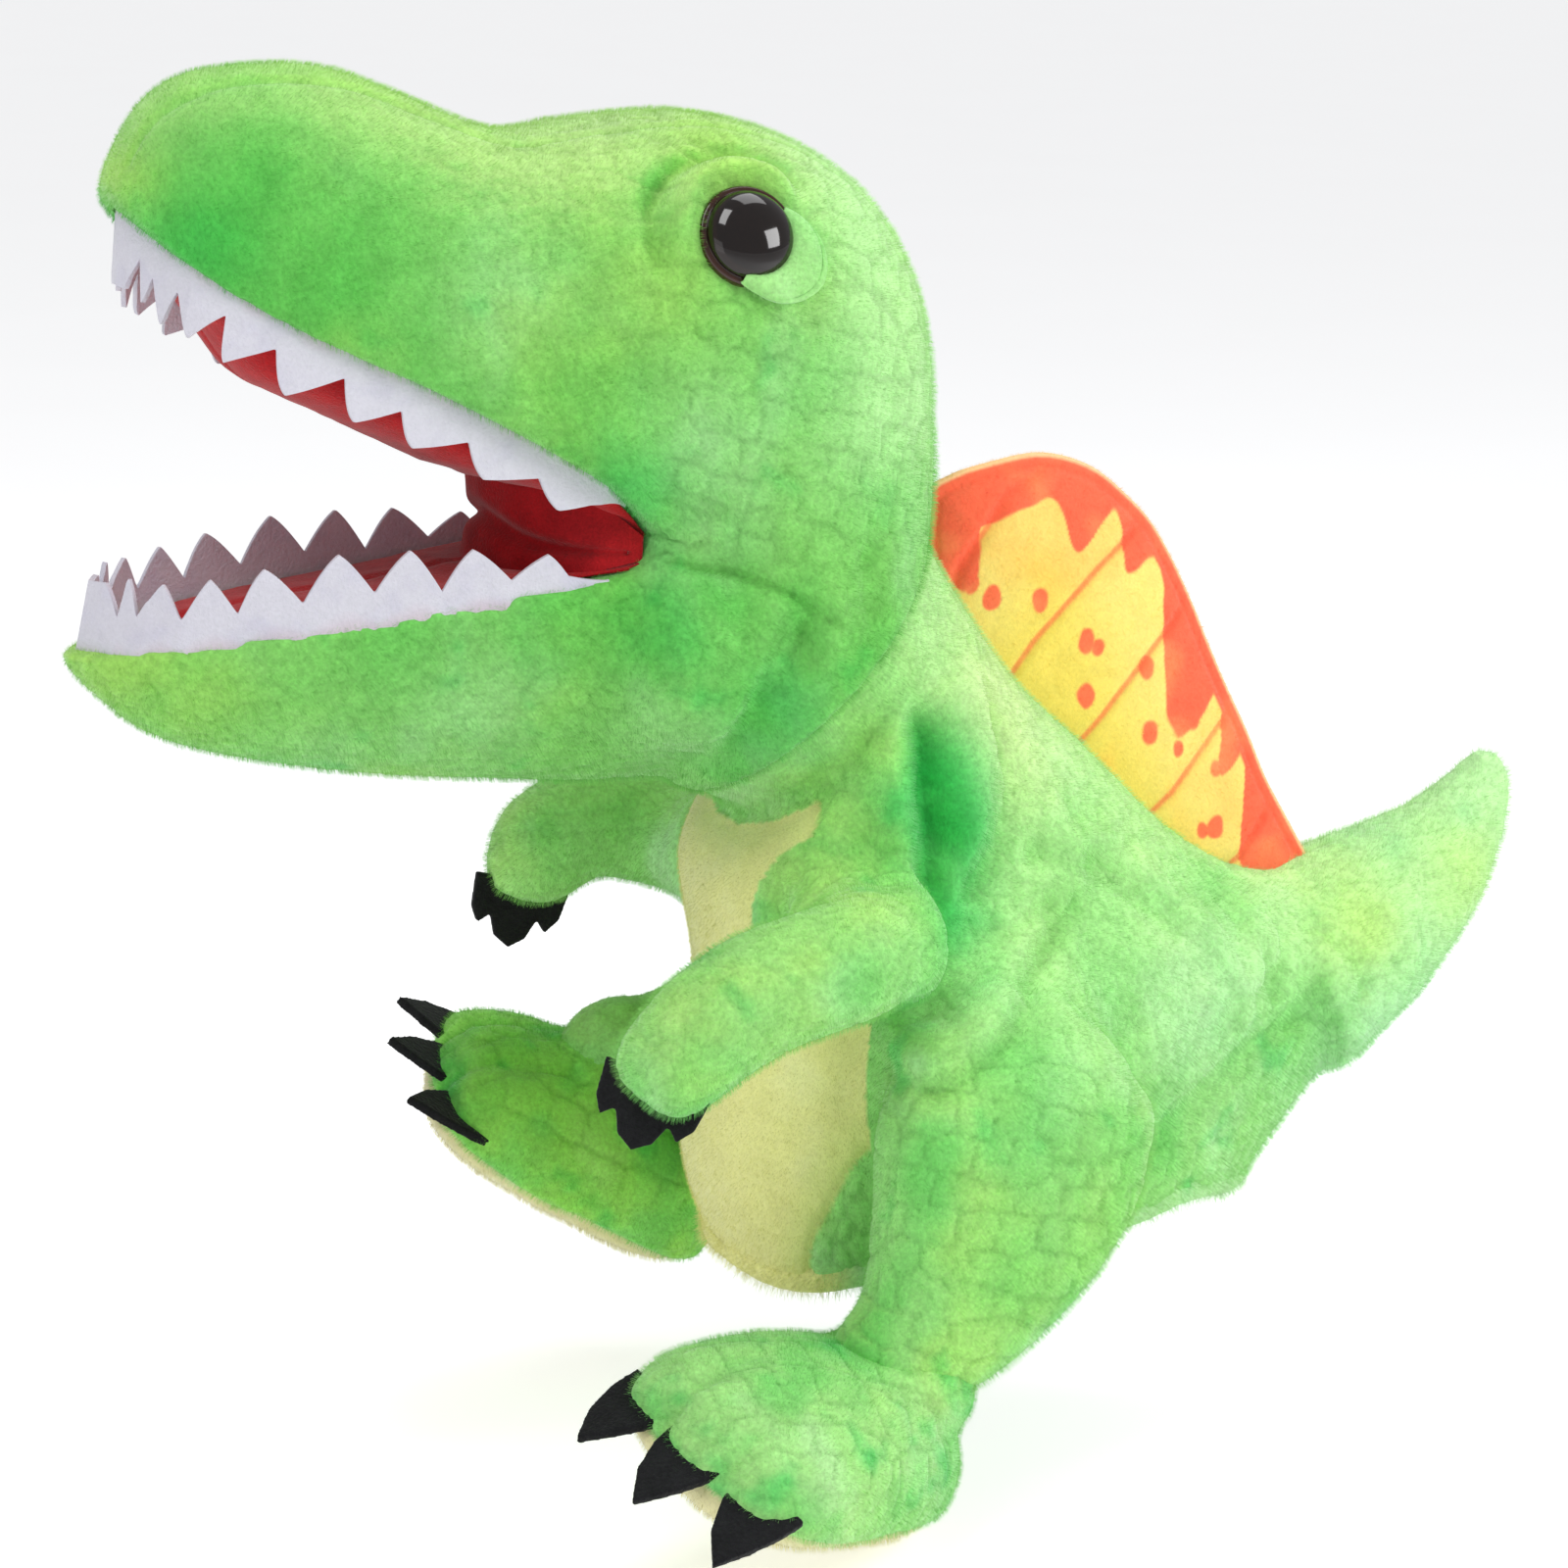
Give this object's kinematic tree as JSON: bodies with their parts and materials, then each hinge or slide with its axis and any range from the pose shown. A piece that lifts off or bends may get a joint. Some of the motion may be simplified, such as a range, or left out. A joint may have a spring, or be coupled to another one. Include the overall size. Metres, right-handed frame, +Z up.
{
  "type": "moving mouth hand puppet",
  "caption": "Plush sail-backed dinosaur glove puppet with a hinged mouth, sleeve-like body open at the bottom for the hand, sewn-on limbs and tail.",
  "frame": {"origin": "on the flat lower face of the body opening's hem, at the back, on the puppet's middle plane", "axes": "+Z up, -Y the way the puppet faces, +X the puppet's left side"},
  "size_m": [0.2266, 0.3881, 0.3497],
  "materials": {
    "green_plush": "short plush pile, tie-dyed in greens",
    "yellow_plush": "short pale yellow plush",
    "cream_plush": "short cream plush",
    "red_fleece": "matt red fleece",
    "white_felt": "cut felt",
    "black_felt": "cut felt, two layers",
    "eye_plastic": "polished dome, dark brown rim",
    "washer_plastic": "moulded",
    "polyester_fill": "loose fibre fill and wadding",
    "grey_lining": "plain woven lining",
    "mouth_board": "stiff flexible sheet",
    "sail_print": "printed short pile, orange edge over yellow"
  },
  "bodies": {
    "torso": {"body_skin": "green_plush", "hand_sleeve": "grey_lining", "opening_hem": "green_plush", "belly_panel": "yellow_plush"},
    "sail": {"sail_print_left": "sail_print", "sail_print_right": "sail_print", "sail_wadding": "polyester_fill"},
    "neck": {"neck_sleeve": "green_plush"},
    "head": {"head_skin": "green_plush", "head_stuffing": "polyester_fill", "mouth_lining_upper": "red_fleece", "mouth_board_upper": "mouth_board", "finger_pocket": "grey_lining", "upper_teeth": "white_felt", "eye_left": "eye_plastic", "eye_right": "eye_plastic", "eye_washer_left": "washer_plastic", "eye_washer_right": "washer_plastic", "eye_patch_left": "green_plush", "eye_patch_right": "green_plush"},
    "jaw": {"jaw_skin": "green_plush", "jaw_stuffing": "polyester_fill", "mouth_lining_lower": "red_fleece", "mouth_board_lower": "mouth_board", "thumb_pocket": "grey_lining", "lower_teeth": "white_felt"},
    "tail": {"tail_skin": "green_plush", "tail_stuffing": "polyester_fill"},
    "arm_left": {"arm_skin_left": "green_plush", "arm_stuffing_left": "polyester_fill", "hand_claws_left": "black_felt"},
    "leg_left": {"leg_skin_left": "green_plush", "leg_stuffing_left": "polyester_fill"},
    "foot_left": {"foot_upper_left": "green_plush", "foot_sole_left": "cream_plush", "foot_stuffing_left": "polyester_fill", "toe_claw_left_1": "black_felt", "toe_claw_left_2": "black_felt", "toe_claw_left_3": "black_felt"},
    "arm_right": {"arm_skin_right": "green_plush", "arm_stuffing_right": "polyester_fill", "hand_claws_right": "black_felt"},
    "leg_right": {"leg_skin_right": "green_plush", "leg_stuffing_right": "polyester_fill"},
    "foot_right": {"foot_upper_right": "green_plush", "foot_sole_right": "cream_plush", "foot_stuffing_right": "polyester_fill", "toe_claw_right_1": "black_felt", "toe_claw_right_2": "black_felt", "toe_claw_right_3": "black_felt"}
  },
  "joints": [
    {"name": "head_turn", "type": "hinge", "parent": "torso", "child": "neck", "pos_m": [0, -0.1244, 0.154], "axis": [0, -0.7302, 0.6832], "range_deg": [-20, 20], "stiffness_Nm_per_rad": 1},
    {"name": "head_nod", "type": "hinge", "parent": "neck", "child": "head", "pos_m": [0, -0.1244, 0.154], "axis": [-1, 0, 0], "range_deg": [-20, 6], "stiffness_Nm_per_rad": 2.6},
    {"name": "jaw_open", "type": "hinge", "parent": "head", "child": "jaw", "pos_m": [0, -0.1694, 0.1855], "axis": [1, 0, 0], "range_deg": [-27, 7], "stiffness_Nm_per_rad": 0.45},
    {"name": "sail_sway", "type": "hinge", "parent": "torso", "child": "sail", "pos_m": [0, -0.0784, 0.159], "axis": [0, 0.7732, -0.6342], "range_deg": [-8, 8], "stiffness_Nm_per_rad": 0.05},
    {"name": "tail_wag", "type": "hinge", "parent": "torso", "child": "tail", "pos_m": [0, 0.0216, 0.06], "axis": [0, -0.436, 0.9], "range_deg": [-20, 20], "stiffness_Nm_per_rad": 0.12},
    {"name": "arm_left_swing", "type": "hinge", "parent": "torso", "child": "arm_left", "pos_m": [0.051, -0.1274, 0.092], "axis": [-1, 0, 0], "range_deg": [-20, 30], "stiffness_Nm_per_rad": 0.08},
    {"name": "arm_right_swing", "type": "hinge", "parent": "torso", "child": "arm_right", "pos_m": [-0.051, -0.1274, 0.092], "axis": [-1, 0, 0], "range_deg": [-25, 20], "stiffness_Nm_per_rad": 0.08},
    {"name": "leg_left_swing", "type": "hinge", "parent": "torso", "child": "leg_left", "pos_m": [0.051, -0.0964, 0.033], "axis": [-1, 0, 0], "range_deg": [-12, 25], "stiffness_Nm_per_rad": 0.45},
    {"name": "ankle_left_flex", "type": "hinge", "parent": "leg_left", "child": "foot_left", "pos_m": [0.067, -0.1224, -0.009], "axis": [-1, 0, 0], "range_deg": [-12, 12], "stiffness_Nm_per_rad": 0.2},
    {"name": "leg_right_swing", "type": "hinge", "parent": "torso", "child": "leg_right", "pos_m": [-0.051, -0.0964, 0.033], "axis": [-1, 0, 0], "range_deg": [-20, 6], "stiffness_Nm_per_rad": 0.45},
    {"name": "ankle_right_flex", "type": "hinge", "parent": "leg_right", "child": "foot_right", "pos_m": [-0.067, -0.14576, 0.03107], "axis": [-1, 0, 0], "range_deg": [-4, 12], "stiffness_Nm_per_rad": 0.2}
  ]
}
